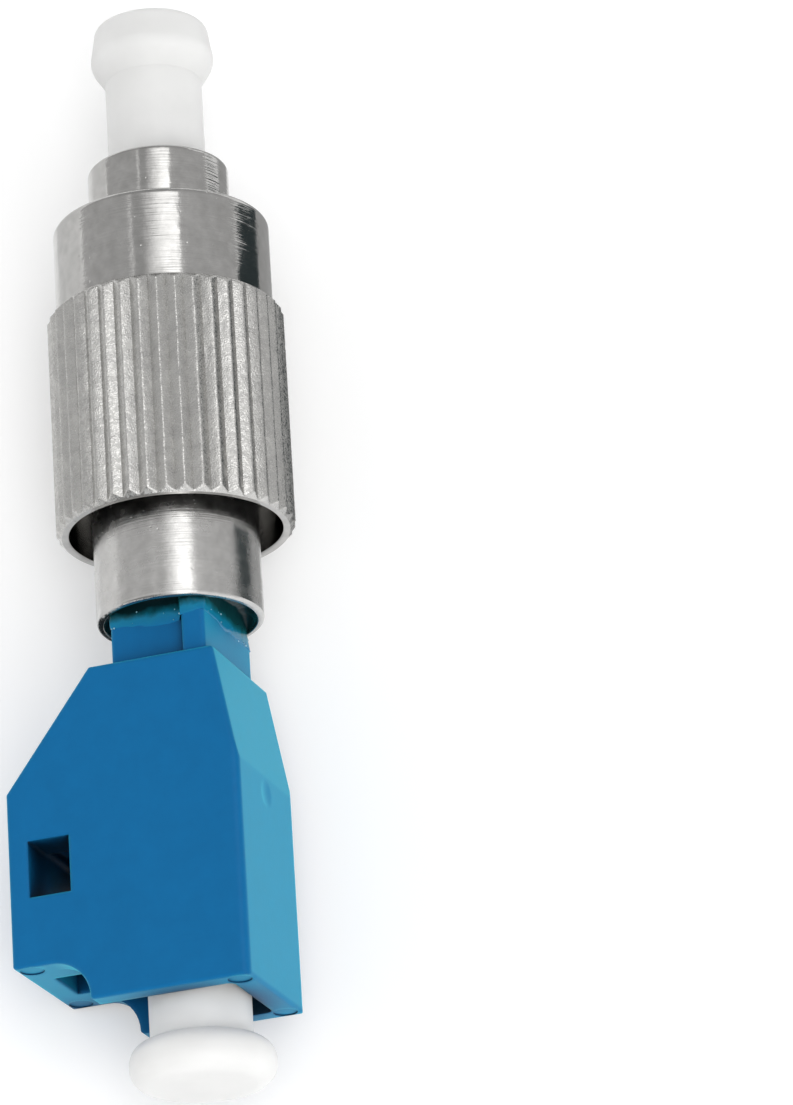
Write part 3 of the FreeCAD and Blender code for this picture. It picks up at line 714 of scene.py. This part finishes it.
def make_bubbles(glue):
    """Specks of air in the film of glue outside the collar."""
    bubbles = bpy.data.objects.new("glue_bubbles", glue.data.copy())
    bpy.context.scene.collection.objects.link(bubbles)
    grow(bubbles, bubble_tree(), Density=BUBBLE_DENSITY * per(1) ** 2, Size=BUBBLE_R * MM, Rim=COLLAR_REAR,
         Seed=BUBBLE_SEED, Finish=AIR_AND_GLINT)
    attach(bubbles, "root")


make_nut()
make_thread()
make_spring()
make_bubbles(make_glue())


# Stage: floor, light and camera

FLOOR_SIZE = 3.0                # side of the floor, in metres
FLOOR_LIFT = 0.2                # light added to the floor where it is looked at, to make it paper white
CARD_HEIGHT = 0.05              # cards above the floor, in millimetres
CARDS = {                       # cards on the floor: corners in millimetres, and a colour
    "dark_card": (((-2, -14.5), (20.6, -14.5), (647.5, -1400), (-2, -1400)), "#384042"),
    # Painted shade: a grey patch of floor beside the part, standing in for its shadow, seen only in
    # reflections.
    "shaded_floor_card": (((-2, -6.5), (60, -6.5), (60, -14.5), (-2, -14.5)), "#B4B4B4"),
    # Painted shade: a dark patch of floor under the neck, standing in for its contact shadow, seen only in
    # reflections.
    "neck_shadow_card": (((-12, 9), (-4.2, 9), (-4.2, 0.5), (-12, 0.5)), "#34393A"),
    "pale_card": (((-150, 150), (150, 150), (150, 8), (-150, 8)), "#EAEAEA"),
}
TENT_WALLS = ((0, 0.85), (3, 0.62), (58, 0.58), (62, 0.5), (80, 0.5), (100, 0.65), (112, 0.65), (168, 0.6),
              (180, 0.6))       # degrees about the fibre's axis from the left horizon, and a brightness
TENT_STRIP = ((59.5, 0), (61, 0.6), (62.5, 0.6), (64, 0), (74, 0), (98, 1.5), (112, 1.6), (114, 0))
TENT_PEAK = 2.0                 # brightness that a ramp's full white stands for
LAMPS = {                       # softboxes: place and size in metres, and power in watts
    "right_softbox": ((-0.42, -0.52, 0.25), (0.4, 0.4), 1.1),
    "left_softbox": ((-0.1, 0.6, 0.35), (0.4, 0.4), 0.9),
    "front_softbox": ((-0.6, -0.1, 0.06), (0.4, 0.3), 0.35),
    "top_softbox": ((-0.05, 0.1, 0.7), (0.5, 0.5), 0.2),
}
CAMERA_PLACE = Vector((-90.253, -15.825, 233.842)) * MM
CAMERA_LOOK = Vector((0.36233, 0.02249, -0.93178))
CAMERA_UP = Vector((0.93005, -0.07421, 0.35986))
CAMERA_LENS = 192.84
SENSOR = 36.0


def flat_sheet(name, corners, height, material):
    """Flat sheet of the stage, in metres."""
    mesh = bpy.data.meshes.new(name)
    mesh.from_pydata([(x, y, height) for x, y in corners], [], [range(len(corners))])
    mesh.materials.append(material)
    sheet = bpy.data.objects.new(name, mesh)
    bpy.context.scene.collection.objects.link(sheet)
    return sheet


def make_floor():
    """White paper that is lifted to full white where it is looked at, also in a mirror or through glass, and
    keeps the shadow."""
    half = FLOOR_SIZE / 2
    material, tree, shader, _ = new_material("white_paper", Roughness=0.9, Specular_IOR_Level=0.0)
    shader.inputs["Base Color"].default_value = colour("#EDEDED")
    shader.inputs["Emission Color"].default_value = grey(1)
    path = add(tree, "ShaderNodeLightPath").outputs
    direct = add(tree, "ShaderNodeMath", {0: path["Is Camera Ray"], 1: path["Is Glossy Ray"]},
                 operation="MAXIMUM")
    seen = add(tree, "ShaderNodeMath", {0: direct.outputs[0], 1: path["Is Transmission Ray"]},
               operation="MAXIMUM")
    lift = add(tree, "ShaderNodeMath", {0: seen.outputs[0], 1: FLOOR_LIFT}, operation="MULTIPLY")
    tree.links.new(lift.outputs[0], shader.inputs["Emission Strength"])
    flat_sheet("floor", ((-half, -half), (half, -half), (half, half), (-half, half)), 0, material)


def make_cards():
    """Cards that shape the edges of the metal. Only reflections show them, and two of them are painted shade:
    patches of floor darkened where the part's shadow falls.
    """
    for name, (corners, code) in CARDS.items():
        material, _, shader, _ = new_material(name, Roughness=0.9, Specular_IOR_Level=0.0)
        shader.inputs["Base Color"].default_value = colour(code)
        outline = [(x * MM, y * MM) for x, y in reversed(corners)]
        card = flat_sheet(name, outline, CARD_HEIGHT * MM, material)
        card.visible_camera = False
        card.visible_diffuse = False
        card.visible_transmission = False
        card.visible_shadow = False


def make_world():
    """Light tent around the part. Its brightness changes with the angle about the fibre's axis, from the left
    horizon over the top to the right one, and falls off towards the far end. A narrow and a broad strip light
    end near the middle, so that lathe rings break up their reflections, and the near side is dark on the left
    and bright on the right."""
    world = bpy.data.worlds.new("light_tent")
    bpy.context.scene.world = world
    world.use_nodes = True
    tree = world.node_tree
    ray = add(tree, "ShaderNodeTexCoord").outputs["Generated"]
    parts = add(tree, "ShaderNodeSeparateXYZ", {"Vector": ray}).outputs
    lean = add(tree, "ShaderNodeMath", {0: parts["Y"], 1: parts["Z"]}, operation="ARCTAN2")
    turn = add(tree, "ShaderNodeMapRange", {"Value": lean.outputs[0], "From Min": math.pi / 2,
                                            "From Max": -math.pi / 2}).outputs[0]
    ramps = []
    for bands in (TENT_WALLS, TENT_STRIP):
        stops = [(angle / 180, grey(brightness / TENT_PEAK)) for angle, brightness in bands]
        ramps.append(add(tree, "ShaderNodeValToRGB", {"Fac": turn}, stops=stops).outputs[0])
    wall_light, strip_light = ramps
    strip_end = add(tree, "ShaderNodeMapRange", {"Value": parts["X"], "From Min": 0.42, "From Max": 0.6,
                                                 "To Min": TENT_PEAK, "To Max": 0.0})
    near = add(tree, "ShaderNodeMapRange", {"Value": parts["X"], "From Min": -0.25, "From Max": -0.7})
    side = add(tree, "ShaderNodeMapRange", {"Value": parts["Y"], "From Min": -0.3, "From Max": 0.4,
                                            "To Min": 0.5, "To Max": -0.7})
    near_side = add(tree, "ShaderNodeMath", {0: near.outputs[0], 1: side.outputs[0], 2: 1.0},
                    operation="MULTIPLY_ADD")
    falloff = add(tree, "ShaderNodeMapRange", {"Value": parts["X"], "From Min": 0.0, "From Max": 0.8,
                                               "To Min": 1.15 * TENT_PEAK, "To Max": 0.75 * TENT_PEAK})
    share = add(tree, "ShaderNodeMath", {0: near_side.outputs[0], 1: falloff.outputs[0]},
                operation="MULTIPLY")
    walls = add(tree, "ShaderNodeMath", {0: share.outputs[0], 1: wall_light}, operation="MULTIPLY")
    level = add(tree, "ShaderNodeMath", {0: strip_light, 1: strip_end.outputs[0], 2: walls.outputs[0]},
                operation="MULTIPLY_ADD")
    tree.nodes["Background"].inputs["Color"].default_value = grey(1)
    tree.links.new(level.outputs[0], tree.nodes["Background"].inputs["Strength"])


def make_lamps():
    """Softboxes that face the part. Reflections leave them out, so the metal shows only the tent, the floor
    and the cards."""
    for name, (place, size, power) in LAMPS.items():
        lamp = bpy.data.lights.new(name, "AREA")
        lamp.shape = "RECTANGLE"
        lamp.size, lamp.size_y = size
        lamp.energy = power
        holder = bpy.data.objects.new(name, lamp)
        holder.location = place
        holder.rotation_mode = "QUATERNION"
        holder.rotation_quaternion = (-Vector(place)).to_track_quat("-Z", "Y")
        holder.visible_glossy = False
        bpy.context.scene.collection.objects.link(holder)


def make_camera():
    """Camera that sees the part as the photo does."""
    camera = bpy.data.objects.new("camera", bpy.data.cameras.new("camera"))
    bpy.context.scene.collection.objects.link(camera)
    camera.data.lens = CAMERA_LENS
    camera.data.sensor_width = SENSOR
    camera.data.clip_start = 0.01
    camera.data.clip_end = 10
    back = -CAMERA_LOOK.normalized()
    right = CAMERA_UP.cross(back).normalized()
    up = back.cross(right)
    camera.matrix_world = Matrix.Translation(CAMERA_PLACE) @ Matrix((right, up, back)).transposed().to_4x4()
    bpy.context.scene.camera = camera


make_floor()
make_cards()
make_world()
make_lamps()
make_camera()
bpy.context.scene.view_settings.view_transform = "Standard"
